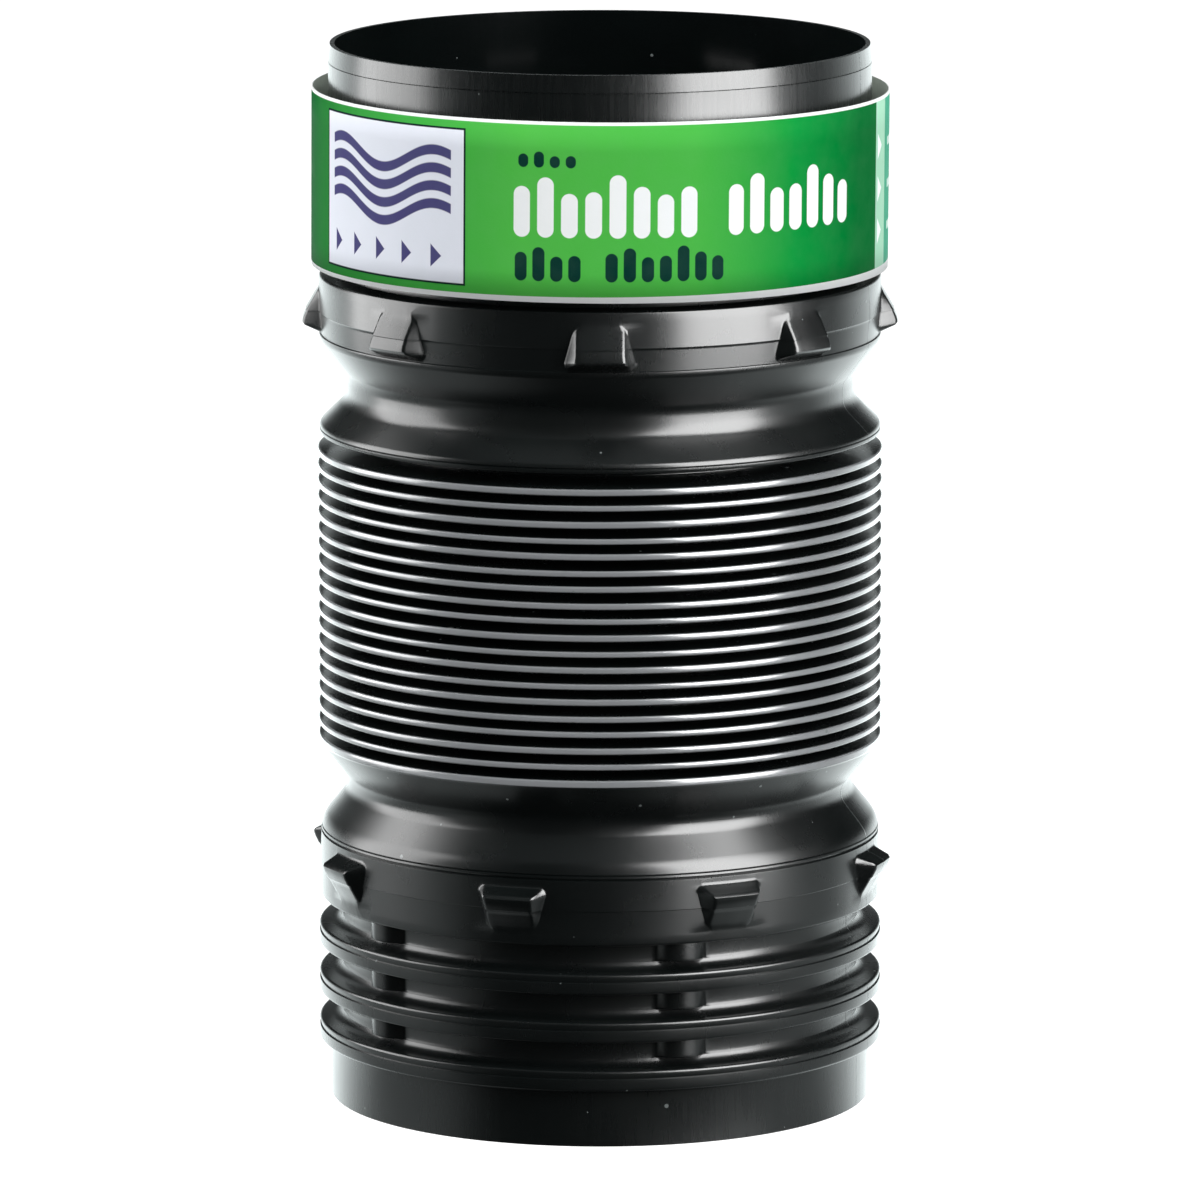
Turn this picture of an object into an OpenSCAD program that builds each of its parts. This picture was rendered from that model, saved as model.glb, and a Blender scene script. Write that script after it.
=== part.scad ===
// Flexible downspout extension, squeezed shut: a blow-moulded tube and the card band round its top.
// The origin is the centre of the bottom rim, +Z is up, and the front of the label looks along -Y.

/* [Plain ends] */
// Outer diameter of the plain ends, which slip inside a 4 inch drain pipe
spigot_d = 103; // [98:0.2:105]
// Height of the plain lower end
lower_spigot_h = 11; // [8:0.5:20]
// Height of the plain upper end
upper_spigot_h = 16.1; // [12:0.1:24]
// How far the outside of the upper rim tapers in, to help it into a pipe
lead_in = 0.3; // [0.1:0.1:0.6]
// Height of that taper
lead_in_h = 3.3; // [2:0.1:5]
// Wall of the ends, ribs and collars
wall = 1.2; // [0.8:0.1:1.5]

/* [Ribs] */
// Ribs at each end
rib_n = 3; // [1:1:5]
// How far the ribs stand out from the plain ends
rib_out = 2.3; // [1.5:0.1:4]
// Height of a rib's rim
rib_h = 3.9; // [3.3:0.1:5]
// Distance from one rib to the next
rib_pitch = 9.23; // [8.5:0.01:12]
// Depth of the grooves between the ribs
groove_depth = 4.5; // [3:0.1:5.5]
// Rounding of a rib's outer corners
rib_round = 0.5; // [0.2:0.1:0.8]
// Rounding of a groove's floor, on the side nearer the end of the tube
groove_round = 2; // [1:0.1:2.4]

/* [Posts in the lower grooves] */
// Width of a post where it leaves the groove's floor
post_w = 9.4; // [7:0.1:12]
// How far a post stands out from the floor
post_out = 3; // [2:0.1:3.4]
// Height left open under a post
post_gap = 1.5; // [0.6:0.1:2.2]
// Angle between the two posts of one mould half
post_spread = 72; // [50:1:90]

/* [Collars and locking lugs] */
// How far the two collars stand out from the plain ends
collar_out = 1.9; // [1:0.1:3.6]
// Height of a collar's straight band
collar_h = 12.2; // [11:0.1:16]
// Lugs round each collar
lug_n = 8; // [4:1:10]
// Width of a lug at its high end
lug_w = 13.7; // [11:0.1:18]
// Width of a lug at its low end
lug_low_w = 9.1; // [7:0.1:10.5]
// Height of a lug
lug_h = 8.4; // [7:0.1:9]
// How far a lug stands out of its collar
lug_out = 3.4; // [2:0.1:4]
// Height of the flat on top of a lug, before its ramp
lug_flat = 2.4; // [1.5:0.1:3.5]
// Distance from a lug's high end to the neck
lug_inset = 1.2; // [0.8:0.1:1.6]
// Width that a lug's flat top keeps, as the lug's sides draw in
lug_top_w = 9.9; // [8:0.1:10.8]
// Turn of the lower ring of lugs against the upper one
lower_lug_turn = -18; // [-22:1:22]

/* [Necks] */
// How far the waist of each neck lies in from the plain ends
waist_in = 3.3; // [1:0.1:4]
// Wall of the necks
neck_wall = 0.9; // [0.6:0.1:1.2]
// Height of the lower collar's rounded shoulder
shoulder_h = 2.2; // [1:0.1:3]
// Height of the slope from that shoulder in to the waist
lower_slope_h = 6.4; // [5:0.1:9]
// Height of the lower waist
lower_waist_h = 2.4; // [1.5:0.1:4]
// Height of the flare from the lower waist out to the first fold
lower_flare_h = 7.3; // [5:0.1:10]
// Height of the edge that closes the bellows at the top
edge_h = 1.6; // [1:0.1:2.5]
// How far that edge stands out from the plain ends
edge_out = 1.9; // [1:0.1:3.6]
// Height of the slope from the edge in to the upper waist
upper_slope_h = 5.1; // [4:0.1:8]
// Height of the upper waist
upper_waist_h = 4.3; // [3:0.1:6]
// Height of the flare from the upper waist out to the collar
upper_flare_h = 7.2; // [5:0.1:10]

/* [Bellows] */
// Number of folds
fold_n = 19; // [6:1:26]
// Distance from fold to fold, squeezed shut
fold_pitch = 3.06; // [2.7:0.02:4]
// How far the folds stand out from the plain ends
fold_out = 2.3; // [1.5:0.1:4]
// Depth of a fold
fold_depth = 8; // [5:0.1:9]
// Thickness of a fold's rim
fold_rim = 1; // [0.9:0.05:1.3]
// Width of the floor between two folds
fold_floor = 0.5; // [0.4:0.05:0.8]
// Wall of the folds
fold_wall = 0.4; // [0.3:0.05:0.4]
// Height of the wider gap between the last fold's rim and the edge above it
last_gap = 3; // [2:0.1:4]

/* [Card band] */
// Thickness of the card
card_t = 0.3; // [0.2:0.05:0.5]
// Clearance between the card and the ribs
card_clear = 0.6; // [0.1:0.05:0.8]
// Height left free between the collar and the band
card_foot = 1.3; // [1.1:0.1:3]
// How far the band reaches above the last rib
card_over = 8.3; // [4:0.1:12]
// Length of the glued lap at the back
lap_w = 12; // [8:1:20]
// Lean of the band to the right, as it was pushed on
card_lean = 0.35; // [0:0.05:1]

/* [Hidden] */
$fn = 96;

// The plain ends set the size of the tube, and every other radius is worked out from theirs.
spigot_r = spigot_d / 2;
rib_r = spigot_r + rib_out;
groove_r = rib_r - groove_depth;
collar_r = spigot_r + collar_out;
waist_r = spigot_r - waist_in;
edge_r = spigot_r + edge_out;
fold_r = spigot_r + fold_out;
fold_floor_r = fold_r - fold_depth;

// Roundings that belong to the mould
inner_corner = 0.8;
shoulder_round = 6;
waist_round = 4;
edge_round = 1.2;
lug_corner = 1.6;
lug_crest = 1;
// How far a lug's ramp would run on past the lug's low end, which so ends in a small step
lug_toe = 0.2;
// An arc is drawn in steps of this angle, and a short arc in steps of this length
arc_angle = 15;
arc_step = 0.5;
// What a cut goes past the face that it opens
past = 0.5;

// Heights, from the bottom rim up
end_h = rib_n * rib_pitch + collar_h;
lower_neck_z = lower_spigot_h + end_h;
first_fold_z = lower_neck_z + shoulder_h + lower_slope_h + lower_waist_h + lower_flare_h + fold_rim / 2;
last_fold_z = first_fold_z + (fold_n - 1) * fold_pitch;
edge_z = last_fold_z + fold_rim / 2 + last_gap;
upper_neck_z = edge_z + edge_h + upper_slope_h + upper_waist_h + upper_flare_h;
total_h = upper_neck_z + end_h + upper_spigot_h;

// A path is a list of corners [radius, height, rounding, wall], from the bottom up, along the outside.

function unit(v) = v / norm(v);
function spot(corner) = [corner[0], corner[1]];
function inward(way) = [-way.y, way.x];
function angle_between(a, b) = atan2(a.x * b.y - a.y * b.x, a * b);
function turned(v, angle) = [v.x * cos(angle) - v.y * sin(angle), v.x * sin(angle) + v.y * cos(angle)];
function reversed(list) = [for (i = [len(list) - 1 : -1 : 0]) list[i]];

// The points of one rounded corner. The rounding is limited by the straight lengths beside it.
function corner_arc(before, at, after, rounding) =
    let (
        a = unit(at - before),
        b = unit(after - at),
        angle = angle_between(a, b),
        half = tan(abs(angle) / 2),
        reach = min(rounding * half, 0.48 * min(norm(at - before), norm(after - at))),
        radius = half > 0.01 ? reach / half : 0,
        steps = max(1, min(ceil(abs(angle) / arc_angle), ceil(radius * abs(angle) * PI / 180 / arc_step))),
        spoke = -sign(angle) * radius * inward(a),
        centre = at - a * reach - spoke
    )
    radius < 0.02 ? [at] : [for (i = [0 : steps]) centre + turned(spoke, angle * i / steps)];

function rounded(path) = [
    for (i = [0 : len(path) - 1])
        each (i == 0 || i == len(path) - 1) ? [spot(path[i])]
            : corner_arc(spot(path[i - 1]), spot(path[i]), spot(path[i + 1]), path[i][2])
];

// One corner of the inside of the wall: the wall's thickness in from the outside's corner.
function inner_corner_of(path, i) =
    let (
        at = spot(path[i]),
        a = unit(at - spot(path[i - 1])),
        b = unit(spot(path[i + 1]) - at),
        moved = at + path[i][3] * (inward(a) + inward(b)) / (1 + a * b),
        rounding = path[i][2] - sign(angle_between(a, b)) * path[i][3]
    )
    [moved.x, moved.y, max(0, rounding)];

// Both rims are cut square, so the wall's inside starts level with its outside there.
function inside_of(path) = [
    for (i = [0 : len(path) - 1])
        (i == 0 || i == len(path) - 1) ? [path[i][0] - path[i][3], path[i][1], 0] : inner_corner_of(path, i)
];

// From a rim to the neck: the plain end, the ribs with their grooves, and the collar
function end_path(spigot_h, taper) = concat(
    [[spigot_r - taper, 0, 0, wall - taper]],
    taper > 0 ? [[spigot_r, lead_in_h, 0, wall]] : [],
    [[spigot_r, spigot_h, inner_corner, wall]],
    [
        for (i = [0 : rib_n - 1], corner = rib_corners(spigot_h + i * rib_pitch))
            corner
    ],
    [[collar_r, spigot_h + rib_n * rib_pitch, rib_round, wall]]
);

function rib_corners(z) = [
    [rib_r, z, rib_round, wall],
    [rib_r, z + rib_h, rib_round, wall],
    [groove_r, z + rib_h, groove_round, wall],
    [groove_r, z + rib_pitch, inner_corner, wall]
];

lower_neck_path = [
    [collar_r, lower_neck_z + shoulder_h, shoulder_round, neck_wall],
    [waist_r, lower_neck_z + shoulder_h + lower_slope_h, waist_round, neck_wall],
    [waist_r, lower_neck_z + shoulder_h + lower_slope_h + lower_waist_h, waist_round, neck_wall]
];

// A fold's rim, then the floor above it, which the last fold shares with the edge
function fold_corners(i) =
    let (z = first_fold_z + i * fold_pitch, gap = i < fold_n - 1 ? fold_pitch - fold_rim : last_gap)
    [
        [fold_r, z - fold_rim / 2, fold_rim / 2, fold_wall],
        [fold_r, z + fold_rim / 2, fold_rim / 2, fold_wall],
        [fold_floor_r, z + (fold_rim + gap - fold_floor) / 2, fold_floor / 2, fold_wall],
        [fold_floor_r, z + (fold_rim + gap + fold_floor) / 2, fold_floor / 2, fold_wall]
    ];

bellows_path = [for (i = [0 : fold_n - 1], corner = fold_corners(i)) corner];

upper_neck_path = [
    [edge_r, edge_z, rib_round, fold_wall],
    [edge_r, edge_z + edge_h, edge_round, neck_wall],
    [waist_r, edge_z + edge_h + upper_slope_h, waist_round, neck_wall],
    [waist_r, edge_z + edge_h + upper_slope_h + upper_waist_h, waist_round, neck_wall],
    [collar_r, upper_neck_z, groove_round, wall]
];

// The upper end is the same as the lower one, turned over.
body_path = concat(
    end_path(lower_spigot_h, 0),
    lower_neck_path,
    bellows_path,
    upper_neck_path,
    [for (c = reversed(end_path(upper_spigot_h, lead_in))) [c[0], total_h - c[1], c[2], c[3]]]
);

module tube_wall() {
    rotate_extrude()
        polygon(concat(rounded(body_path), reversed(rounded(inside_of(body_path)))));
}

// Lugs are drawn with the neck at z = 0 and the end of the tube above it. The pocket that the
// blown wall leaves inside a lug is the same shape, a wall's thickness in.
module lug_ramp(inset) {
    high = lug_inset + inset;
    rise = [
        [collar_r + lug_out - inset, high - past, 0],
        [collar_r + lug_out - inset, lug_inset + lug_flat, lug_crest],
        [collar_r - inset, lug_inset + lug_h + lug_toe, 0]
    ];
    back = collar_r - (inset > 0 ? wall + past : wall / 2);
    rotate_extrude()
        polygon(concat([[back, high - past]], rounded(rise), [[back, lug_inset + lug_h + lug_toe]]));
}

// The outline of a lug has its full size where it leaves the collar, and draws in outwards.
function lug_size(r) = 1 - (1 - lug_top_w / lug_w) * (r - collar_r) / lug_out;

module lug_outline(inset) {
    offset(r = lug_corner, $fn = 16)
        offset(delta = -lug_corner - inset)
            polygon([
                [-lug_w / 2, -lug_h / 2],
                [lug_w / 2, -lug_h / 2],
                [lug_low_w / 2, lug_h / 2],
                [-lug_low_w / 2, lug_h / 2]
            ]);
}

module lug_block(inset) {
    back = collar_r - (inset > 0 ? wall + past : wall / 2);
    front = collar_r + lug_out + past;
    translate([0, 0, lug_inset + lug_h / 2])
        rotate([90, 0, 0])
            translate([0, 0, back])
                linear_extrude(front - back, scale = lug_size(front) / lug_size(back))
                    scale([lug_size(back), lug_size(back)])
                        lug_outline(inset);
}

module lug_ring(inset) {
    intersection() {
        lug_ramp(inset);
        union() {
            for (i = [0 : lug_n - 1])
                rotate([0, 0, i * 360 / lug_n])
                    lug_block(inset);
        }
    }
}

module both_lug_rings(inset) {
    translate([0, 0, upper_neck_z])
        lug_ring(inset);
    translate([0, 0, lower_neck_z])
        mirror([0, 0, 1])
            rotate([0, 0, lower_lug_turn])
                lug_ring(inset);
}

// A post hangs from the rib or collar above its groove. Its face is part of an upright cylinder.
module groove_post(z, inset) {
    post_r = (post_w * post_w / 4 + post_out * post_out) / (2 * post_out);
    foot = z + rib_h + post_gap + inset;
    head = z + rib_pitch + (inset > 0 ? wall + past : wall / 2);
    back = groove_r - (inset > 0 ? wall + past : wall / 2);
    difference() {
        translate([0, post_r - groove_r - post_out, foot])
            cylinder(r = post_r - inset, h = head - foot);
        translate([0, 0, foot - past])
            cylinder(r = back, h = head - foot + 2 * past);
    }
}

module all_posts(inset) {
    for (i = [0 : rib_n - 1], half = [0, 180], side = [-1, 1])
        rotate([0, 0, lower_lug_turn + half + side * post_spread / 2])
            groove_post(lower_spigot_h + i * rib_pitch, inset);
}

module elbow_body() {
    color([0.09, 0.11, 0.11])
        difference() {
            union() {
                tube_wall();
                both_lug_rings(0);
                all_posts(0);
            }
            both_lug_rings(wall);
            all_posts(wall);
        }
}

// The band leans, so it is wider than the ribs by what the lean takes up.
module label_band() {
    ribs_h = (rib_n - 1) * rib_pitch + rib_h;
    top_rib_z = total_h - upper_spigot_h;
    foot_z = upper_neck_z + collar_h + card_foot;
    band_h = top_rib_z + card_over - foot_z;
    card_r = rib_r + card_clear + ribs_h / 2 * tan(card_lean);
    pivot = [0, 0, top_rib_z - ribs_h / 2];
    color([0.1, 0.56, 0.3])
        translate(pivot)
            rotate([0, card_lean, 0])
                translate([0, 0, foot_z - pivot.z]) {
                    rotate_extrude()
                        translate([card_r, 0])
                            square([card_t, band_h]);
                    rotate([0, 0, 90 - lap_w / card_r * 90 / PI])
                        rotate_extrude(angle = lap_w / card_r * 180 / PI)
                            translate([card_r + card_t / 2, 0])
                                square([card_t * 1.5, band_h]);
                }
}

elbow_body();
label_band();
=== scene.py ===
"""Flexible downspout extension, squeezed shut, with a card band round its top, on a pale floor."""

import math

import bmesh
import bpy
from mathutils import Matrix, Vector


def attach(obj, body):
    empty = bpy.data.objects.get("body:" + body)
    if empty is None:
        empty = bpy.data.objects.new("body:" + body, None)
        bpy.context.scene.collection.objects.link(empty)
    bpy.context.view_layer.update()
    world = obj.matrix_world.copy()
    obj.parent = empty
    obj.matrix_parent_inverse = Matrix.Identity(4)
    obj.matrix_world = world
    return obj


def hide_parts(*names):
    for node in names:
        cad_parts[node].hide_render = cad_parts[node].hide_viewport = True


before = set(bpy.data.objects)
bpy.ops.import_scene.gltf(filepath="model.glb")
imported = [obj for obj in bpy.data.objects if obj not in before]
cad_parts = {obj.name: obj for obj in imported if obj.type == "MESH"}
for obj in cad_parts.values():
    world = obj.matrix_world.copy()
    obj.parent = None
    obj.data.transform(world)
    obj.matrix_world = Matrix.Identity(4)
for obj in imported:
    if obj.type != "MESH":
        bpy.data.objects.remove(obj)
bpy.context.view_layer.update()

# Sizes in millimetres. They are the CAD model's, but for the folds' rims and the card's height,
# which follow the photograph more closely
SPIGOT_R = 51.5
RIB_R = 53.8
GROOVE_R = 49.3
COLLAR_R = 53.4
WAIST_R = 48.2
EDGE_R = 53.4
FOLD_R = 53.8
FOLD_FLOOR_R = 45.8
WALL = 1.2
NECK_WALL = 0.9
FOLD_WALL = 0.4
LOWER_SPIGOT_H = 11
UPPER_SPIGOT_H = 16.1
RIB_N = 3
RIB_H = 3.9
RIB_PITCH = 9.23
LOWER_NECK_Z = 50.89
UPPER_NECK_Z = 146.47
FIRST_FOLD_Z = 69.69
FOLD_N = 19
FOLD_PITCH = 3.06
EDGE_Z = 128.27
TOTAL_H = 202.46

# Heights above the neck or the edge that they start from, and roundings
LEAD_IN = 0.3
LEAD_IN_H = 3.3
SHOULDER_H = 2.2
LOWER_WAIST = (8.6, 11)
EDGE_H = 1.6
UPPER_WAIST = (6.7, 11)
INNER_CORNER = 0.8
RIB_ROUND = 0.5
GROOVE_ROUND = 2
SHOULDER_ROUND = 6
WAIST_ROUND = 4
EDGE_ROUND = 1.2

# The folds: the rim's thickness in the CAD model sets the gap, and the rim here is a little thicker
CAD_FOLD_RIM = 1
LAST_GAP = 3
FOLD_RIM_HALF = 0.6
FOLD_RIM_ROUND = 0.32
FOLD_FLOOR_SPAN = (0.25, 0.75)
FOLD_FLOOR_ROUND = 0.25
WANDER_SPAN = (66, 127)

# The locking lugs: sizes where they leave the collar, and how far from the neck they start
LUG_OUT = 3.4
LUG_H = 8.4
LUG_INSET = 1.2
LUG_FLAT = 2.4
LUG_MID_HALF_W = 5.7
LUG_NARROWING = 0.2738
LUG_DRAFT = 0.2774
LUG_CORNER = 1.6
LUG_TOE_PAST = 0.4
LUG_EDGE_SOFT = 0.5
LUG_FOOT_SOFT = 0.45
LUG_TURNS = [45 * i for i in range(8)]
LOWER_LUG_TURN = -18

# The posts in the lower grooves
POST_R = 5.18
POST_OUT = 3
POST_FOOT = RIB_H + 1.5
POST_FOOT_ROUND = 0.45
POST_TURNS = [LOWER_LUG_TURN + half + side for half in (0, 180) for side in (-36, 36)]

# The card band
CARD_R = 54.768
CARD_T = 0.3
CARD_FOOT_Z = 160.47
CARD_H = 33.7
PRINT_H = 34.2
PRINT_BORDER_Z = 33.6
CARD_LAP = 12
LAP_LIFT = 0.31
LAP_LEAD = 6
LAP_EASE = 5
CARD_PIVOT_Z = 175.18
CARD_LEAN = math.radians(0.35)

# Steps of the full turn, half the width of a lug's or post's window in degrees, and how far its
# rows reach: from the neck for a lug, and past its ends for a post
SPIN_STEPS = 120
WINDOW = 9
LUG_REACH = (0.1, 10.3)
POST_MARGIN = 0.1

# Where the two halves of the mould meet, in degrees round the tube
PARTING_TURN = 72

CAMERA_AT = (0, -2.0, 0.447)
CAMERA_AIM = (0, 0, 0.0952)
CAMERA_LENS = 318.9


def mm(*values):
    return tuple(value / 1000 for value in values)


# Outline of the tube: corners (radius, height, rounding, wall, steps of the arc), from the bottom up


def corner_arc(before, at, after, rounding, steps):
    """The points of one rounded corner, its rounding limited by the straight lengths beside it."""
    a, b = (at - before).normalized(), (after - at).normalized()
    angle = math.atan2(a.x * b.y - a.y * b.x, a.dot(b))
    half = math.tan(abs(angle) / 2)
    reach = min(rounding * half, 0.48 * min((at - before).length, (after - at).length))
    if half < 0.01 or reach / half < 0.02:
        return [at]
    inward = Vector((-a.y, a.x)) * math.copysign(reach / half, angle)
    centre = at - a * reach + inward
    return [centre + Matrix.Rotation(angle * i / steps, 2) @ -inward for i in range(steps + 1)]


def rounded(path):
    spots = [Vector(corner[:2]) for corner in path]
    points = [spots[0]]
    for before, at, after, corner in zip(spots, spots[1:], spots[2:], path[1:]):
        points += corner_arc(before, at, after, corner[2], corner[4])
    return points + [spots[-1]]


def inside_of(path):
    """The inside of the wall, each corner moved in by the wall's thickness."""
    first, last = path[0], path[-1]
    inner = [(first[0] - first[3], first[1], 0, 0, 1)]
    for before, corner, after in zip(path, path[1:], path[2:]):
        at = Vector(corner[:2])
        a = (at - Vector(before[:2])).normalized()
        b = (Vector(after[:2]) - at).normalized()
        moved = at + corner[3] * Vector((-a.y - b.y, a.x + b.x)) / (1 + a.dot(b))
        turn = math.copysign(1, a.x * b.y - a.y * b.x)
        steps = max(1, corner[4] // 2)
        inner.append((moved.x, moved.y, max(0, corner[2] - turn * corner[3]), 0, steps))
    return inner + [(last[0] - last[3], last[1], 0, 0, 1)]


def end_path(spigot_h, taper, fine):
    """From a rim to the neck: the plain end, the ribs with their grooves, and the collar."""
    path = [(SPIGOT_R - taper, 0, 0, WALL - taper, 1)]
    if taper:
        path.append((SPIGOT_R, LEAD_IN_H, 0, WALL, 1))
    path.append((SPIGOT_R, spigot_h, INNER_CORNER, WALL, fine))
    for i in range(RIB_N):
        z = spigot_h + i * RIB_PITCH
        path.append((RIB_R, z, RIB_ROUND, WALL, fine))
        path.append((RIB_R, z + RIB_H, RIB_ROUND, WALL, fine))
        path.append((GROOVE_R, z + RIB_H, GROOVE_ROUND, WALL, 2 * fine))
        path.append((GROOVE_R, z + RIB_PITCH, INNER_CORNER, WALL, fine))
    path.append((COLLAR_R, spigot_h + RIB_N * RIB_PITCH, RIB_ROUND, WALL, 3))
    return path


def fold_path():
    """Each fold's rim, then the floor above it."""
    path = []
    for i in range(FOLD_N):
        z = FIRST_FOLD_Z + i * FOLD_PITCH
        gap = FOLD_PITCH - CAD_FOLD_RIM if i < FOLD_N - 1 else LAST_GAP
        for side in (-FOLD_RIM_HALF, FOLD_RIM_HALF):
            path.append((FOLD_R, z + side, FOLD_RIM_ROUND, FOLD_WALL, 3))
        for start in FOLD_FLOOR_SPAN:
            path.append((FOLD_FLOOR_R, z + start + gap / 2, FOLD_FLOOR_ROUND, FOLD_WALL, 1))
    return path


def tube_path():
    """The whole outline, from the lower rim to the upper one."""
    lower_neck = [
        (COLLAR_R, LOWER_NECK_Z + SHOULDER_H, SHOULDER_ROUND, NECK_WALL, 6),
        (WAIST_R, LOWER_NECK_Z + LOWER_WAIST[0], WAIST_ROUND, NECK_WALL, 6),
        (WAIST_R, LOWER_NECK_Z + LOWER_WAIST[1], WAIST_ROUND, NECK_WALL, 6),
    ]
    upper_neck = [
        (EDGE_R, EDGE_Z, RIB_ROUND, FOLD_WALL, 3),
        (EDGE_R, EDGE_Z + EDGE_H, EDGE_ROUND, NECK_WALL, 4),
        (WAIST_R, EDGE_Z + UPPER_WAIST[0], WAIST_ROUND, NECK_WALL, 6),
        (WAIST_R, EDGE_Z + UPPER_WAIST[1], WAIST_ROUND, NECK_WALL, 6),
        (COLLAR_R, UPPER_NECK_Z, GROOVE_ROUND, WALL, 4),
    ]
    upper_end = [
        (corner[0], TOTAL_H - corner[1], *corner[2:])
        for corner in reversed(end_path(UPPER_SPIGOT_H, LEAD_IN, 2))
    ]
    return end_path(LOWER_SPIGOT_H, 0, 3) + lower_neck + fold_path() + upper_neck + upper_end


def with_rows(points, rows):
    """Adds points at the heights in rows, each moved out from the outline by its second number."""
    for z, out in rows:
        for i in range(len(points) - 1):
            low, high = points[i], points[i + 1]
            if low.y + 0.01 < z < high.y - 0.01:
                share = (z - low.y) / (high.y - low.y)
                points.insert(i + 1, Vector((low.x + share * (high.x - low.x) + out, z)))
                break
    return points


# Rows across a lug and across the pocket behind it, as distances from the neck
LUG_ROWS = (
    0.2, 0.6, 0.95, 1.2, 1.45, 1.75, 2.05, 2.3, 2.6, 3.1, 3.6, 4.1, 4.8, 6.4, 7.5, 8.6, 9.3, 9.7, 10.2,
)
LUG_POCKET_ROWS = (2.2, 2.6, 3.1, 3.6, 4.2, 6, 8, 9.4)

# Rows at a post's foot and at the foot of the pocket behind it, as distances from it
POST_ROWS = (-0.08, 0, 0.07, 0.2, 0.4, 0.9)
POST_POCKET_ROWS = (-0.08, 0.08, 0.5)

# Fine lines round the tube, as steps up and out: a seam stands proud, and a score is cut in
SEAM = ((-0.14, 0), (0, 0.12), (0.14, 0))
SCORE = ((-0.12, 0), (-0.04, -0.14), (0.04, -0.14), (0.12, 0))
SEAM_HEIGHTS = (45.42, 151.8)
SCORE_HEIGHTS = (147.4, 51.2, 52.1, 129.15, 199.1)
RIB_SCORE_H = 2.35


def line_at(z, shape):
    return [(z + step, out) for step, out in shape]


def outer_rows():
    rows = []
    for z in SEAM_HEIGHTS:
        rows += line_at(z, SEAM)
    for z in SCORE_HEIGHTS:
        rows += line_at(z, SCORE)
    for t in LUG_ROWS:
        rows += [(LOWER_NECK_Z - t, 0), (UPPER_NECK_Z + t, 0)]
    for i in range(RIB_N):
        z = LOWER_SPIGOT_H + i * RIB_PITCH
        rows += line_at(z + RIB_SCORE_H, SCORE)
        rows += [(z + POST_FOOT + step, 0) for step in POST_ROWS]
    return rows


def inner_rows():
    rows = []
    for t in LUG_POCKET_ROWS:
        rows += [(LOWER_NECK_Z - t, 0), (UPPER_NECK_Z + t, 0)]
    for i in range(RIB_N):
        z = LOWER_SPIGOT_H + i * RIB_PITCH
        rows += [(z + POST_FOOT + WALL + step, 0) for step in POST_POCKET_ROWS]
    return rows


def smooth_least(values, blend):
    """The least of the values, with a soft change from one to the next."""
    least = values[0]
    for value in values[1:]:
        share = max(0, blend - abs(least - value)) / blend
        least = min(least, value) - share * share * blend / 4
    return least


def lug_height(s, t, inset):
    """How far a lug stands out at a distance s from its middle line and t from the neck."""
    middle = LUG_INSET + LUG_H / 2
    from_side = LUG_MID_HALF_W - LUG_NARROWING * (t - middle) - s - inset
    from_end = min(t - LUG_INSET, LUG_INSET + LUG_H - t + LUG_TOE_PAST) - inset
    within = min(from_side, from_end)
    if max(from_side, from_end) < LUG_CORNER:
        within = LUG_CORNER - math.hypot(LUG_CORNER - from_side, LUG_CORNER - from_end)
    side = within * LUG_OUT / (LUG_DRAFT * LUG_MID_HALF_W)
    ramp = LUG_OUT * (LUG_INSET + LUG_H - t) / (LUG_H - LUG_FLAT)
    height = smooth_least([side, ramp, LUG_OUT], LUG_EDGE_SOFT)
    return -smooth_least([-height, 0], LUG_FOOT_SOFT)


def lug_columns(t, inset):
    """Where the columns of half a lug stand, so that they follow its crest, its side and its foot."""
    middle = LUG_INSET + LUG_H / 2
    along = min(max(t, LUG_INSET), LUG_INSET + LUG_H)
    foot = LUG_MID_HALF_W - LUG_NARROWING * (along - middle) - inset
    from_end = max(0.1, min(t - LUG_INSET, LUG_INSET + LUG_H - t) - inset)
    if from_end < LUG_CORNER:
        foot -= LUG_CORNER - math.sqrt(LUG_CORNER ** 2 - (LUG_CORNER - from_end) ** 2)
    crest = foot - max(0.35, LUG_MID_HALF_W * LUG_DRAFT * lug_height(0, t, inset) / LUG_OUT)
    return [
        0, 0.33 * crest, 0.66 * crest, crest - 0.6, crest - 0.2,
        foot + 0.88 * (crest - foot), foot + 0.12 * (crest - foot), foot + 0.15, foot + 0.55,
    ]


# The columns of half a post, from its middle line to past its edge
POST_COLUMNS = [0, 1, 2, 2.9, 3.8, 4.4, 4.72, 5.1, 5.9]


def move_to(vert, turn, s, radius):
    """Puts a vertex at a distance s to the right of the middle line at that turn, at that radius."""
    out = math.sqrt(radius * radius - s * s)
    spot = Matrix.Rotation(math.radians(turn), 4, "Z") @ Vector((s, -out, 0)) / 1000
    vert.co.x, vert.co.y = spot.x, spot.y


def turn_of(co):
    return math.degrees(math.atan2(co.x, -co.y))


def radius_of(co):
    return math.hypot(co.x, co.y) * 1000


def tube_windows():
    """The places of lugs and posts: turn, lowest and highest row, and what shapes the vertices there."""
    windows = []
    near, far = LUG_REACH
    for turn in LUG_TURNS:
        windows.append((turn + LOWER_LUG_TURN, LOWER_NECK_Z - far, LOWER_NECK_Z - near, shape_lower_lug))
        windows.append((turn, UPPER_NECK_Z + near, UPPER_NECK_Z + far, shape_upper_lug))
    for turn in POST_TURNS:
        for i in range(RIB_N):
            z = LOWER_SPIGOT_H + i * RIB_PITCH
            low, high = z + POST_FOOT - POST_MARGIN, z + RIB_PITCH + WALL + POST_MARGIN
            windows.append((turn, low, high, shape_post))
    return windows


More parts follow.
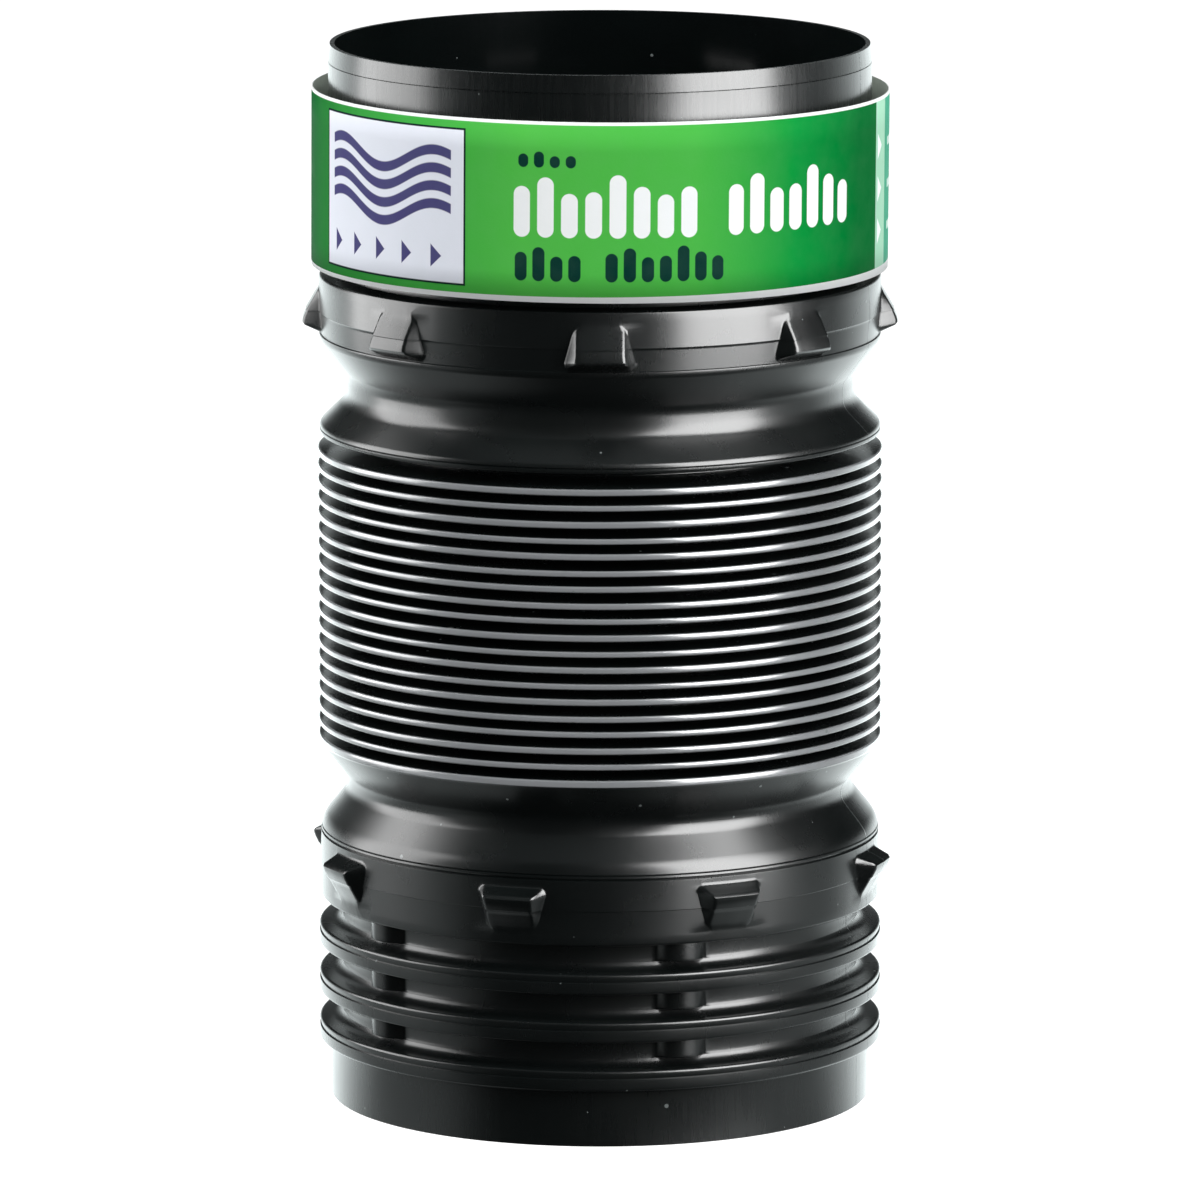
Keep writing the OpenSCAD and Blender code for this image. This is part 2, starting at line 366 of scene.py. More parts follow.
def shape_lug(vert, turn, k, t):
    radius = radius_of(vert.co)
    inset = 0 if radius > COLLAR_R - WALL / 2 else WALL
    s = radius * math.radians(WINDOW) if abs(k) == WINDOW else lug_columns(t, inset)[abs(k)]
    height = 0 if abs(k) == WINDOW else lug_height(s, t, inset)
    move_to(vert, turn, math.copysign(s, k), radius + height)


def shape_lower_lug(vert, turn, k, base):
    shape_lug(vert, turn, k, LOWER_NECK_Z - vert.co.z * 1000)


def shape_upper_lug(vert, turn, k, base):
    shape_lug(vert, turn, k, vert.co.z * 1000 - UPPER_NECK_Z)


def shape_post(vert, turn, k, base):
    """A post's face is part of an upright cylinder, and its foot is rounded."""
    radius = radius_of(vert.co)
    inset = 0 if radius > GROOVE_R - WALL / 2 else WALL
    at_edge = abs(k) == WINDOW
    s = radius * math.radians(WINDOW) if at_edge else POST_COLUMNS[abs(k)] - inset * abs(k) / WINDOW
    above = vert.co.z * 1000 - (base + POST_MARGIN + inset)
    face_r = POST_R - inset
    if 0 < above and s < face_r:
        rise = math.sqrt(max(0, 1 - (1 - min(1, above / POST_FOOT_ROUND)) ** 2))
        face = GROOVE_R + POST_OUT - POST_R + math.sqrt(face_r * face_r - s * s)
        out = math.sqrt(radius * radius - s * s)
        radius = math.hypot(s, out + rise * max(0, face - out))
    move_to(vert, turn, math.copysign(s, k), radius)


def make_tube():
    """The blown tube: its outline spun round, then the lugs and posts drawn out of it."""
    path = tube_path()
    outer = with_rows(rounded(path), outer_rows())
    inner = with_rows(rounded(inside_of(path)), inner_rows())
    bm = bmesh.new()
    ring = [bm.verts.new(mm(0, -p.x, p.y)) for p in outer + inner[::-1]]
    for a, b in zip(ring, ring[1:] + ring[:1]):
        bm.edges.new((a, b))
    bmesh.ops.spin(
        bm, geom=bm.verts[:] + bm.edges[:], cent=(0, 0, 0), axis=(0, 0, 1), dvec=(0, 0, 0),
        angle=math.tau, steps=SPIN_STEPS, use_merge=True,
    )
    bmesh.ops.recalc_face_normals(bm, faces=bm.faces[:])
    draw_out(bm, tube_windows())
    let_folds_wander(bm)
    return finished_mesh(bm, "tube", 40)


def draw_out(bm, windows):
    """Cuts each window's level edges in three, and shapes the vertices in it."""
    level = []
    for edge in bm.edges:
        a, b = (vert.co for vert in edge.verts)
        if abs(a.z - b.z) < 1e-7 and abs(radius_of(a) - radius_of(b)) < 1e-3:
            level.append((turn_of((a + b) / 2), a.z * 1000, edge))
    chosen = [
        edge
        for turn, z, edge in level
        if any(
            low < z < high and abs((turn - centre + 180) % 360 - 180) < WINDOW
            for centre, low, high, shape in windows
        )
    ]
    bmesh.ops.subdivide_edges(bm, edges=chosen, cuts=2, use_grid_fill=True)
    columns = {}
    for vert in bm.verts:
        columns.setdefault(round(turn_of(vert.co)) % 360, []).append(vert)
    for centre, low, high, shape in windows:
        for k in range(-WINDOW, WINDOW + 1):
            for vert in columns.get((centre + k) % 360, []):
                if low < vert.co.z * 1000 < high:
                    shape(vert, centre, k, low)


def let_folds_wander(bm):
    """Squeezed folds never lie quite level, so they drift a little up and down round the tube."""
    low, high = WANDER_SPAN
    for vert in bm.verts:
        z = vert.co.z * 1000
        if low < z < high:
            turn = math.radians(turn_of(vert.co))
            share = min(1, (z - low) / 6, (high - z) / 3)
            drift = 0.09 * math.sin(0.9 * z) + 0.07 * math.sin(2 * turn + 0.31 * z) * math.sin(0.23 * z)
            vert.co.z += 0.001 * share * drift


def finished_mesh(bm, name, sharp_angle):
    """A smooth-shaded mesh, with creases where faces meet at more than the angle in degrees."""
    for face in bm.faces:
        face.smooth = True
    mesh = bpy.data.meshes.new(name)
    bm.to_mesh(mesh)
    bm.free()
    mesh.set_sharp_from_angle(angle=math.radians(sharp_angle))
    return mesh


def make_card():
    """The card band: a flat strip of card bent round, its right end lapped over its left at the back."""
    bm = bmesh.new()
    bmesh.ops.create_grid(bm, x_segments=176, y_segments=6, size=0.5)
    uv = bm.loops.layers.uv.new("card")
    length = math.tau * CARD_R + CARD_LAP
    flat = {vert: (vert.co.x * length, (vert.co.y + 0.5) * CARD_H) for vert in bm.verts}
    for face in bm.faces:
        for loop in face.loops:
            loop[uv].uv = flat[loop.vert]
    lean = (
        Matrix.Translation(mm(0, 0, CARD_PIVOT_Z))
        @ Matrix.Rotation(CARD_LEAN, 4, "Y")
        @ Matrix.Translation(mm(0, 0, -CARD_PIVOT_Z))
    )
    for vert, (along, up) in flat.items():
        lift = min(1, max(0, (along - math.pi * CARD_R + CARD_LAP / 2 + LAP_LEAD) / LAP_EASE))
        radius = CARD_R + LAP_LIFT * lift * lift * (3 - 2 * lift)
        turn = along / CARD_R
        spot = mm(radius * math.sin(turn), -radius * math.cos(turn), CARD_FOOT_Z + up)
        vert.co = lean @ Vector(spot)
    return finished_mesh(bm, "card", 60)


# Materials


def place(tree, kind, inputs=(), **settings):
    """Adds a node, with its inputs linked where a socket is given and set where a value is."""
    made = tree.nodes.new(kind)
    for name, value in settings.items():
        setattr(made, name, value)
    for key, value in dict(inputs).items():
        if isinstance(value, bpy.types.NodeSocket):
            tree.links.new(value, made.inputs[key])
        else:
            made.inputs[key].default_value = value
    return made


def reckon(tree, operation, *values):
    return place(tree, "ShaderNodeMath", enumerate(values), operation=operation).outputs[0]


def between(tree, value, low, high, soft):
    """1 where the value lies between low and high, with a soft edge."""
    rise = place(tree, "ShaderNodeMapRange", {
        "Value": value, "From Min": low - soft, "From Max": low + soft}).outputs[0]
    fall = place(tree, "ShaderNodeMapRange", {
        "Value": value, "From Min": high + soft, "From Max": high - soft}).outputs[0]
    return reckon(tree, "MULTIPLY", rise, fall)


def mixed(tree, factor, a, b):
    node = place(tree, "ShaderNodeMix", data_type="RGBA")
    for index, value in ((0, factor), (6, a), (7, b)):
        if isinstance(value, bpy.types.NodeSocket):
            tree.links.new(value, node.inputs[index])
        else:
            node.inputs[index].default_value = value
    return node.outputs[2]


def ink(red, green, blue):
    """A colour given as it is seen, from 0 to 255, as the renderer wants it."""
    def linear(value):
        value /= 255
        return value / 12.92 if value < 0.04045 else ((value + 0.055) / 1.055) ** 2.4
    return (linear(red), linear(green), linear(blue), 1)


def new_group(name, inputs, outputs):
    group = bpy.data.node_groups.new(name, "ShaderNodeTree")
    for socket, kind, value in inputs:
        made = group.interface.new_socket(socket, in_out="INPUT", socket_type=kind)
        if value is not None:
            made.default_value = value
    for socket, kind in outputs:
        group.interface.new_socket(socket, in_out="OUTPUT", socket_type=kind)
    return group, group.nodes.new("NodeGroupInput"), group.nodes.new("NodeGroupOutput")


def dust_group():
    """Small pale specks, thinly and unevenly strewn."""
    group, given, result = new_group(
        "Dust specks",
        [("Vector", "NodeSocketVector", None), ("Per mm", "NodeSocketFloat", 0.5),
         ("Amount", "NodeSocketFloat", 0.1)],
        [("Mask", "NodeSocketFloat")],
    )
    cells = place(group, "ShaderNodeTexVoronoi", {"Vector": given.outputs[0], "Scale": given.outputs[1]})
    chance = place(group, "ShaderNodeSeparateColor", {"Color": cells.outputs["Color"]})
    size = reckon(group, "MULTIPLY", chance.outputs[1], 0.16)
    near = reckon(group, "LESS_THAN", cells.outputs["Distance"], size)
    some = reckon(group, "LESS_THAN", chance.outputs[0], given.outputs[2])
    group.links.new(reckon(group, "MULTIPLY", near, some), result.inputs[0])
    return group


def panel_group():
    """A plain rectangle on the card."""
    group, given, result = new_group(
        "Printed panel",
        [("Across", "NodeSocketFloat", 0), ("Up", "NodeSocketFloat", 0), ("Left", "NodeSocketFloat", 0),
         ("Right", "NodeSocketFloat", 1), ("Bottom", "NodeSocketFloat", 0), ("Top", "NodeSocketFloat", 1)],
        [("Mask", "NodeSocketFloat")],
    )
    masks = []
    for value, low, high in ((0, 2, 3), (1, 4, 5)):
        over = reckon(group, "SUBTRACT", given.outputs[value], given.outputs[low])
        under = reckon(group, "SUBTRACT", given.outputs[high], given.outputs[value])
        inside = reckon(group, "MINIMUM", over, under)
        masks.append(place(group, "ShaderNodeMapRange", {
            "Value": inside, "From Min": -0.06, "From Max": 0.06}).outputs[0])
    group.links.new(reckon(group, "MULTIPLY", *masks), result.inputs[0])
    return group


def bars_group():
    """A row of upright bars of uneven height, with rounded ends."""
    group, given, result = new_group(
        "Printed bars",
        [("Across", "NodeSocketFloat", 0), ("Up", "NodeSocketFloat", 0), ("Left", "NodeSocketFloat", 0),
         ("Right", "NodeSocketFloat", 1), ("Bottom", "NodeSocketFloat", 0), ("Top", "NodeSocketFloat", 1),
         ("Pitch", "NodeSocketFloat", 4), ("Half width", "NodeSocketFloat", 1.2)],
        [("Mask", "NodeSocketFloat")],
    )
    across, up, left, right, bottom, top, pitch, half = given.outputs[:8]
    count = reckon(group, "DIVIDE", reckon(group, "SUBTRACT", across, left), pitch)
    which = reckon(group, "FLOOR", count)
    chance = place(group, "ShaderNodeTexWhiteNoise", {"W": which}, noise_dimensions="1D").outputs[0]
    aside = reckon(group, "SUBTRACT", reckon(group, "FRACT", count), 0.5)
    aside = reckon(group, "MULTIPLY", aside, pitch)
    height = reckon(group, "SUBTRACT", top, bottom)
    shorter = reckon(group, "MULTIPLY", reckon(group, "MULTIPLY", chance, 0.34), height)
    own_top = reckon(group, "SUBTRACT", top, shorter)
    # Distance to the bar's middle line, which stops half a width short of both ends
    low_end = reckon(group, "ADD", bottom, half)
    high_end = reckon(group, "SUBTRACT", own_top, half)
    nearest = reckon(group, "MAXIMUM", reckon(group, "MINIMUM", up, high_end), low_end)
    beside = reckon(group, "SUBTRACT", up, nearest)
    away = reckon(group, "SQRT", reckon(
        group, "ADD", reckon(group, "MULTIPLY", aside, aside), reckon(group, "MULTIPLY", beside, beside)))
    bar = place(group, "ShaderNodeMapRange", {
        "Value": reckon(group, "SUBTRACT", half, away), "From Min": -0.06, "From Max": 0.06}).outputs[0]
    started = reckon(group, "GREATER_THAN", across, left)
    ended = reckon(group, "LESS_THAN", across, right)
    in_row = reckon(group, "MULTIPLY", started, ended)
    group.links.new(reckon(group, "MULTIPLY", bar, in_row), result.inputs[0])
    return group


def new_material(name):
    material = bpy.data.materials.new(name)
    material.use_nodes = True
    tree = material.node_tree
    tree.nodes.clear()
    shader = tree.nodes.new("ShaderNodeBsdfPrincipled")
    output = tree.nodes.new("ShaderNodeOutputMaterial")
    tree.links.new(shader.outputs[0], output.inputs[0])
    return material, tree, shader


def object_mm(tree):
    """Places on the object, in millimetres."""
    where = tree.nodes.new("ShaderNodeTexCoord").outputs["Object"]
    return place(tree, "ShaderNodeMapping", {"Vector": where, "Scale": (1000, 1000, 1000)}).outputs[0]


# The tube's colours as the renderer wants them: deep, clouded, a painted highlight on the folds' rims, and
# dust
TUBE_DEEP = (0.0018, 0.0028, 0.0028, 1)
TUBE_CLOUDED = (0.0040, 0.0058, 0.0058, 1)
TUBE_RIM_HIGHLIGHT = (0.22, 0.23, 0.24, 1)
TUBE_DUST = (0.16, 0.18, 0.18, 1)


def black_polyethylene(dust):
    """Satin black plastic, with a painted highlight on the folds' rims, streaks, clouds and a little dust.
    """
    material, tree, shader = new_material("black_polyethylene")
    where = object_mm(tree)
    x, y, z = place(tree, "ShaderNodeSeparateXYZ", {"Vector": where}).outputs
    flat = place(tree, "ShaderNodeCombineXYZ", {"X": x, "Y": y}).outputs[0]
    radius = place(tree, "ShaderNodeVectorMath", {0: flat}, operation="LENGTH").outputs["Value"]

    # The rims of the folds are glossier from being folded, and the half of each rim that faces up is
    # painted pale: a painted highlight
    in_bellows = between(tree, z, 68.9, 126, 0.3)
    rim = place(tree, "ShaderNodeMapRange", {
        "Value": radius, "From Min": 53.3, "From Max": 53.7}).outputs[0]
    rim = reckon(tree, "MULTIPLY", rim, in_bellows)
    facing = tree.nodes.new("ShaderNodeNewGeometry").outputs["Normal"]
    facing_up = place(tree, "ShaderNodeSeparateXYZ", {"Vector": facing}).outputs[2]
    outwards = place(
        tree, "ShaderNodeVectorMath", {0: facing, 1: flat}, operation="DOT_PRODUCT").outputs["Value"]
    inside = reckon(tree, "LESS_THAN", outwards, -10)
    upper_half = place(tree, "ShaderNodeMapRange", {
        "Value": facing_up, "From Min": -0.6, "From Max": -0.1}).outputs[0]
    # Painted highlight: the rim is pale only where it faces up, towards the light
    painted_rim_highlight = reckon(tree, "MULTIPLY", rim, upper_half)

    # Streaks that the mould and the cooling leave along the tube
    stretched = place(tree, "ShaderNodeMapping", {
        "Vector": where, "Scale": (1.1, 1.1, 0.035)}).outputs[0]
    streaks = place(tree, "ShaderNodeTexNoise", {
        "Vector": stretched, "Scale": 1.3, "Detail": 3}).outputs[0]
    clouds = place(tree, "ShaderNodeTexNoise", {"Vector": where, "Scale": 0.045, "Detail": 3}).outputs[0]
    grain = place(tree, "ShaderNodeTexNoise", {"Vector": where, "Scale": 2.2, "Detail": 2}).outputs[0]
    specks = place(tree, "ShaderNodeGroup", {"Vector": where}, node_tree=dust)
    specks.inputs["Per mm"].default_value = 0.4
    specks.inputs["Amount"].default_value = 0.07

    base = mixed(tree, clouds, TUBE_DEEP, TUBE_CLOUDED)
    base = mixed(tree, painted_rim_highlight, base, TUBE_RIM_HIGHLIGHT)
    base = mixed(tree, specks.outputs[0], base, TUBE_DUST)
    tree.links.new(base, shader.inputs["Base Color"])

    plain_end = reckon(tree, "SUBTRACT", 1, between(tree, z, 10, 187, 1))
    upper_end = reckon(tree, "GREATER_THAN", z, 100)
    end_share = reckon(tree, "ADD", reckon(tree, "MULTIPLY", upper_end, 0.35), 0.2)
    drawn = reckon(tree, "ADD", reckon(tree, "MULTIPLY", plain_end, end_share), 0.1)
    rough = place(tree, "ShaderNodeMapRange", {
        "Value": streaks, "From Min": 0.3, "From Max": 0.7, "To Min": -0.04, "To Max": 0.04}).outputs[0]
    rough = reckon(tree, "ADD", reckon(tree, "MULTIPLY", rough, drawn), 0.265)
    cloudy = place(tree, "ShaderNodeMapRange", {
        "Value": clouds, "From Min": 0.3, "From Max": 0.7, "To Min": -0.03, "To Max": 0.04}).outputs[0]
    rough = reckon(tree, "ADD", rough, cloudy)
    rough = reckon(tree, "SUBTRACT", rough, reckon(tree, "MULTIPLY", rim, 0.1))
    smoother = reckon(tree, "SUBTRACT", 1, reckon(tree, "MULTIPLY", inside, 0.65))
    rough = reckon(tree, "MULTIPLY", rough, smoother)
    tree.links.new(rough, shader.inputs["Roughness"])

    tree.links.new(rim, shader.inputs["Coat Weight"])
    shader.inputs["Coat Roughness"].default_value = 0.22

    # The two halves of the mould leave a fine line down each side
    parting_turn = math.radians(PARTING_TURN)
    aside = reckon(tree, "ADD", reckon(tree, "MULTIPLY", x, math.cos(parting_turn)),
                   reckon(tree, "MULTIPLY", y, math.sin(parting_turn)))
    parting = between(tree, aside, -0.12, 0.12, 0.08)
    parting = reckon(tree, "MULTIPLY", parting, reckon(tree, "SUBTRACT", 1, in_bellows))
    height = reckon(tree, "MULTIPLY", reckon(tree, "MULTIPLY", streaks, drawn), 0.05)
    height = reckon(tree, "ADD", height, reckon(tree, "MULTIPLY", grain, 0.02))
    height = reckon(tree, "ADD", height, reckon(tree, "MULTIPLY", parting, 0.5))
    bump = place(tree, "ShaderNodeBump", {"Height": height, "Strength": 0.35, "Distance": 0.0002})
    tree.links.new(bump.outputs[0], shader.inputs["Normal"])
    return material


def card_print(panel, bars):
    """The printed face of the card: plain fields, bars and simple shapes."""
    material, tree, shader = new_material("printed_card")
    uv = tree.nodes.new("ShaderNodeUVMap")
    uv.uv_map = "card"
    across, up, _ = place(tree, "ShaderNodeSeparateXYZ", {"Vector": uv.outputs[0]}).outputs
    up = reckon(tree, "MULTIPLY", up, PRINT_H / CARD_H)

    def field(left, right, bottom, top, group=panel, **more):
        node = place(tree, "ShaderNodeGroup", {"Across": across, "Up": up}, node_tree=group)
        given = {"Left": left, "Right": right, "Bottom": bottom, "Top": top}
        given.update({key.replace("_", " ").capitalize(): value for key, value in more.items()})
        for key, value in given.items():
            node.inputs[key].default_value = value
        return node.outputs[0]

    def pointer(left, middle, half):
        """A right-pointing triangle."""
        off_middle = reckon(tree, "ABSOLUTE", reckon(tree, "SUBTRACT", up, middle))
        rise = reckon(tree, "SUBTRACT", half, off_middle)
        run = reckon(tree, "SUBTRACT", across, left)
        left_over = reckon(tree, "SUBTRACT", reckon(tree, "MULTIPLY", rise, 1.1), run)
        inside = reckon(tree, "MINIMUM", run, left_over)
        return place(tree, "ShaderNodeMapRange", {
            "Value": inside, "From Min": -0.06, "From Max": 0.06}).outputs[0]

    # The print's green, painted darker towards both sides of the band's front and round its back: painted
    # shade where the band turns away from the light
    ramp = place(tree, "ShaderNodeValToRGB", {
        "Fac": place(tree, "ShaderNodeMapRange", {
            "Value": across, "From Min": -90, "From Max": 90}).outputs[0]})
    stops = ramp.color_ramp.elements
    stops[0].position, stops[0].color = 0.06, ink(8, 86, 40)
    stops[1].position, stops[1].color = 0.94, ink(1, 92, 42)
    for position, colour in ((0.30, ink(62, 168, 66)), (0.42, ink(79, 183, 72)), (0.60, ink(71, 175, 68)),
                             (0.72, ink(3, 140, 56)), (0.83, ink(1, 102, 44))):
        stops.new(position).color = colour
    colour = ramp.outputs[0]

    white = ink(240, 243, 244)
    pale = ink(226, 230, 240)
    slate = ink(74, 70, 118)
    dark = ink(4, 50, 44)
    colour = mixed(tree, field(-65.5, -25.9, 2.3, 32.2), colour, ink(14, 30, 34))
    colour = mixed(tree, field(-65.1, -26.3, 2.7, 31.8), colour, pale)

    # The picture's place holds plain slate waves over a row of pointers
    wave = reckon(tree, "MULTIPLY", reckon(tree, "SINE", reckon(tree, "MULTIPLY", across, 0.24)), 2.2)
    waved = reckon(tree, "ADD", up, wave)
    comb = reckon(tree, "FRACT", reckon(tree, "MULTIPLY", waved, 1 / 3.4))
    stripes = between(tree, comb, 0.22, 0.78, 0.03)
    stripes = reckon(tree, "MULTIPLY", stripes, between(tree, waved, 14.2, 27.4, 0.03))
    stripes = reckon(tree, "MULTIPLY", stripes, field(-62.5, -29, 10, 31))
    colour = mixed(tree, stripes, colour, slate)
    for left in (-61.5, -54.5, -47.5, -40.5, -33.5):
        colour = mixed(tree, pointer(left, 7.6, 2.2), colour, slate)

    colour = mixed(tree, field(-15.9, -4.0, 25.5, 28.7, bars, pitch=2.98, half_width=0.95), colour, dark)
    colour = mixed(tree, field(-16.9, 19.0, 12.3, 24.3, bars, pitch=4.49, half_width=1.55), colour, white)
    colour = mixed(tree, field(24.0, 55.5, 12.3, 24.3, bars, pitch=4.5, half_width=1.55), colour, white)
    colour = mixed(tree, field(-16.5, -3.0, 4.0, 10.8, bars, pitch=3.375, half_width=1.15), colour, dark)
    colour = mixed(tree, field(0.5, 24.2, 4.0, 10.8, bars, pitch=3.385, half_width=1.15), colour, dark)

    # The side panel, behind a pale strip with three pointers
    colour = mixed(tree, field(74.8, 118, 0, PRINT_H), colour, ink(76, 164, 134))
    colour = mixed(tree, field(68.0, 74.8, 0, PRINT_H), colour, ink(166, 214, 188))
    for middle in (24.9, 16.7, 8.6):
        colour = mixed(tree, pointer(69.2, middle, 2.5), colour, white)
        colour = mixed(tree, field(78, 112, middle - 0.8, middle + 0.8), colour, ink(206, 232, 222))
    colour = mixed(tree, field(-200, 200, PRINT_BORDER_Z, 40), colour, white)
    foot = place(tree, "ShaderNodeMapRange", {
        "Value": across, "From Min": -80, "From Max": 80, "To Min": 0.7, "To Max": 1.6}).outputs[0]
    colour = mixed(tree, reckon(tree, "LESS_THAN", up, foot), colour, white)

    where = object_mm(tree)
    mottle = place(tree, "ShaderNodeTexNoise", {"Vector": where, "Scale": 0.22, "Detail": 4}).outputs[0]
    worn = place(tree, "ShaderNodeMapRange", {
        "Value": mottle, "From Min": 0.3, "From Max": 0.7, "To Min": 0.0, "To Max": 0.03}).outputs[0]
    colour = mixed(tree, worn, colour, ink(150, 190, 160))
    tree.links.new(colour, shader.inputs["Base Color"])
    rough = place(tree, "ShaderNodeMapRange", {
        "Value": mottle, "From Min": 0.3, "From Max": 0.7, "To Min": 0.5, "To Max": 0.62}).outputs[0]
    tree.links.new(rough, shader.inputs["Roughness"])
    shader.inputs["Specular IOR Level"].default_value = 0.004
    fibres = place(tree, "ShaderNodeTexNoise", {"Vector": where, "Scale": 1.6, "Detail": 4}).outputs[0]
    bump = place(tree, "ShaderNodeBump", {"Height": fibres, "Strength": 0.12, "Distance": 0.0002})
    tree.links.new(bump.outputs[0], shader.inputs["Normal"])
    return material


def bare_card(name, colour):
    """The card where it isn't printed: its back, or its cut edge."""
    material, tree, shader = new_material(name)
    where = object_mm(tree)
    fibres = place(tree, "ShaderNodeTexNoise", {"Vector": where, "Scale": 0.9, "Detail": 5}).outputs[0]
    tone = place(tree, "ShaderNodeMapRange", {
        "Value": fibres, "From Min": 0.3, "From Max": 0.7, "To Min": 0, "To Max": 0.3}).outputs[0]
    tree.links.new(mixed(tree, tone, colour, ink(150, 160, 150)), shader.inputs["Base Color"])
    shader.inputs["Roughness"].default_value = 0.7
    bump = place(tree, "ShaderNodeBump", {"Height": fibres, "Strength": 0.2, "Distance": 0.0002})
    tree.links.new(bump.outputs[0], shader.inputs["Normal"])
    return material


def shown(name, mesh, materials):
    piece = bpy.data.objects.new(name, mesh)
    bpy.context.scene.collection.objects.link(piece)
    for material in materials:
        mesh.materials.append(material)
    return piece


# Floor, lamps and camera


def pale_floor():
    """The floor shows white to the camera, under the object's soft shadow."""
    bm = bmesh.new()
    bmesh.ops.create_circle(bm, cap_ends=True, radius=12, segments=64)
    mesh = bpy.data.meshes.new("floor")
    bm.to_mesh(mesh)
    bm.free()
    material, tree, shader = new_material("pale_floor")
    shader.inputs["Base Color"].default_value = (0.6, 0.6, 0.6, 1)
    shader.inputs["Roughness"].default_value = 0.9
    rays = tree.nodes.new("ShaderNodeLightPath")
    glow = place(tree, "ShaderNodeEmission", {"Color": (1, 1, 1, 1), "Strength": 0.68})
    seen = place(tree, "ShaderNodeAddShader", {0: shader.outputs[0], 1: glow.outputs[0]})
    dim = place(tree, "ShaderNodeBsdfDiffuse", {"Color": (0.25, 0.25, 0.25, 1)})
    mix = place(tree, "ShaderNodeMixShader", {
        0: rays.outputs["Is Camera Ray"], 1: dim.outputs[0], 2: seen.outputs[0]})
    output = next(node for node in tree.nodes if node.type == "OUTPUT_MATERIAL")
    tree.links.new(mix.outputs[0], output.inputs[0])
    floor = shown("floor", mesh, [material])
    floor.visible_glossy = False
    return floor


# Bright fields of the surroundings that only gloss shows: strength, softness of the edges, and the
# spans of the direction to the right, to the back and up
SCREENS = (
    (1.0, 0.15, (0.2, 1.3), (-0.1, 1.3), (-1.3, -0.45)),
    (2.6, 0.15, (0.2, 1.3), (0.45, 1.3), (-1.3, -0.3)),
    (0.6, 0.15, (-1.3, -0.2), (-0.1, 1.3), (-1.3, -0.45)),
    (0.25, 0.15, (-0.5, 0.5), (-0.6, 0.5), (0.8, 1.3)),
    (0.6, 0.2, (0.7, 1.3), (-0.7, 0.6), (-0.6, 0.0)),
    (0.6, 0.15, (-1.3, -0.75), (-0.5, 0.6), (-0.6, 0.0)),
)


def white_surroundings():
    """White for the camera, even light for the object, and bright fields on dark for its gloss."""
    world = bpy.data.worlds.new("surroundings")
    bpy.context.scene.world = world
    world.use_nodes = True
    tree = world.node_tree
    tree.nodes.clear()
    way = tree.nodes.new("ShaderNodeTexCoord").outputs["Generated"]
    right, back, up = place(tree, "ShaderNodeSeparateXYZ", {"Vector": way}).outputs
    glare = place(tree, "ShaderNodeMapRange", {
        "Value": back, "From Min": 0.25, "From Max": 0.85, "To Min": 0.0, "To Max": 2.8}).outputs[0]
    below = place(tree, "ShaderNodeMapRange", {
        "Value": up, "From Min": 0.12, "From Max": -0.08, "To Min": 0.01, "To Max": 1}).outputs[0]
    glare = reckon(tree, "MAXIMUM", reckon(tree, "MULTIPLY", glare, below), 0.02)
    for strength, soft, x_range, y_range, z_range in SCREENS:
        screen = reckon(tree, "MULTIPLY", between(tree, right, *x_range, soft), strength)
        screen = reckon(tree, "MULTIPLY", screen, between(tree, back, *y_range, soft))
        screen = reckon(tree, "MULTIPLY", screen, between(tree, up, *z_range, soft))
        glare = reckon(tree, "MAXIMUM", glare, screen)
    reflected = place(tree, "ShaderNodeBackground", {"Color": (0.92, 1, 1, 1), "Strength": glare})
    lit = place(tree, "ShaderNodeBackground", {"Color": (1, 1, 1, 1), "Strength": 0.55})
    seen = place(tree, "ShaderNodeBackground", {"Color": (1, 1, 1, 1), "Strength": 1})
    rays = tree.nodes.new("ShaderNodeLightPath")
    inner = place(tree, "ShaderNodeMixShader", {
        0: rays.outputs["Is Glossy Ray"], 1: lit.outputs[0], 2: reflected.outputs[0]})
    outer = place(tree, "ShaderNodeMixShader", {
        0: rays.outputs["Is Camera Ray"], 1: inner.outputs[0], 2: seen.outputs[0]})
    output = tree.nodes.new("ShaderNodeOutputWorld")
    tree.links.new(outer.outputs[0], output.inputs[0])


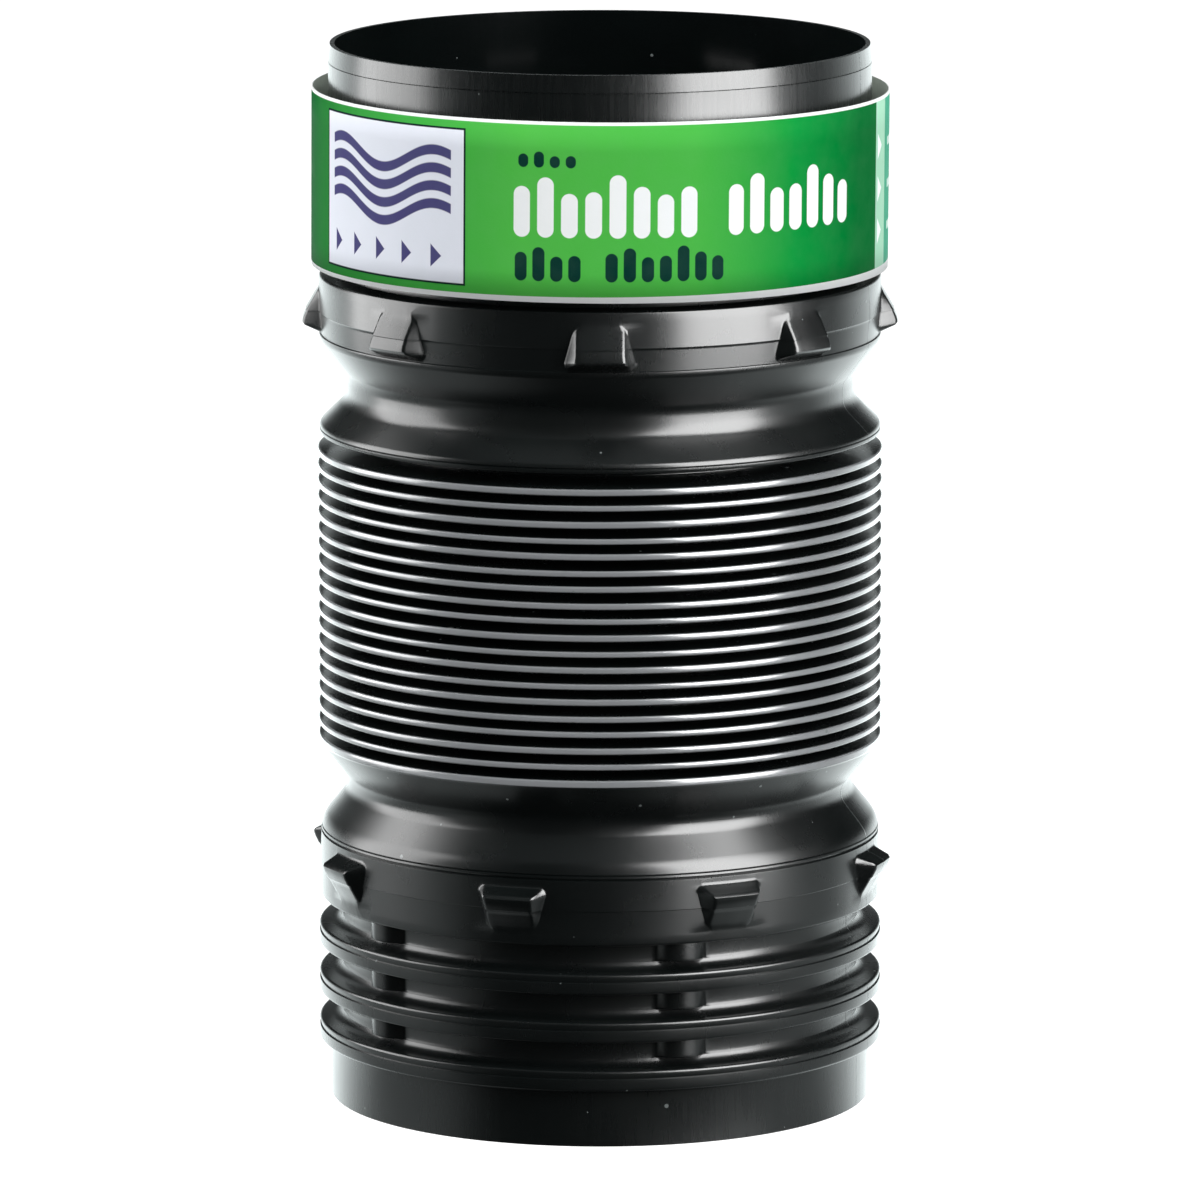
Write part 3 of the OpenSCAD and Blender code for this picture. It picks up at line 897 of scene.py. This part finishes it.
def softbox(name, turn, rise, distance, width, height, power, gloss=True, light=True):
    """A soft lamp that faces the object, turned round it from the camera's side and raised.

    It makes highlights where gloss is true, and lights the colours where light is true.
    """
    lamp = bpy.data.lights.new(name, "AREA")
    lamp.shape = "RECTANGLE"
    lamp.size, lamp.size_y, lamp.energy = width, height, power
    lamp_object = bpy.data.objects.new(name, lamp)
    turn, rise = math.radians(turn), math.radians(rise)
    way = Vector((math.sin(turn) * math.cos(rise), -math.cos(turn) * math.cos(rise), math.sin(rise)))
    lamp_object.location = Vector((0, 0, 0.1)) + way * distance
    lamp_object.rotation_euler = (-way).to_track_quat("-Z", "Y").to_euler()
    lamp_object.visible_glossy, lamp_object.visible_diffuse = gloss, light
    bpy.context.scene.collection.objects.link(lamp_object)


def photo_camera():
    camera = bpy.data.cameras.new("camera")
    camera.sensor_width = 36
    camera.lens = CAMERA_LENS
    camera_object = bpy.data.objects.new("camera", camera)
    camera_object.location = CAMERA_AT
    aim = Vector(CAMERA_AIM) - camera_object.location
    camera_object.rotation_euler = aim.to_track_quat("-Z", "Y").to_euler()
    bpy.context.scene.collection.objects.link(camera_object)
    bpy.context.scene.camera = camera_object


dust = dust_group()
tube = shown("tube", make_tube(), [black_polyethylene(dust)])
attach(tube, "root")
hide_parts("elbow_body")

card = shown("card_band", make_card(), [
    card_print(panel_group(), bars_group()),
    bare_card("card_back", ink(176, 188, 176)),
    bare_card("card_edge", ink(238, 240, 240)),
])
thickness = card.modifiers.new("thickness", "SOLIDIFY")
thickness.thickness = CARD_T / 1000
thickness.offset = -1
thickness.material_offset = 1
thickness.material_offset_rim = 2
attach(card, "root")
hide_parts("label_band")

pale_floor()
white_surroundings()
softbox("left_softbox", -100, 18, 1.3, 1.5, 1.1, 16, gloss=False)
softbox("right_softbox", 56, 18, 1.3, 0.6, 1.1, 12, gloss=False)
softbox("top_softbox", 10, 68, 1.3, 1.0, 0.8, 8, gloss=False)
softbox("left_sheen", -97, 15, 0.63, 0.50, 0.54, 6.4, light=False)
softbox("right_sheen", 52, 20, 0.55, 0.45, 0.62, 15.5, light=False)
photo_camera()
bpy.context.scene.view_settings.view_transform = "Standard"
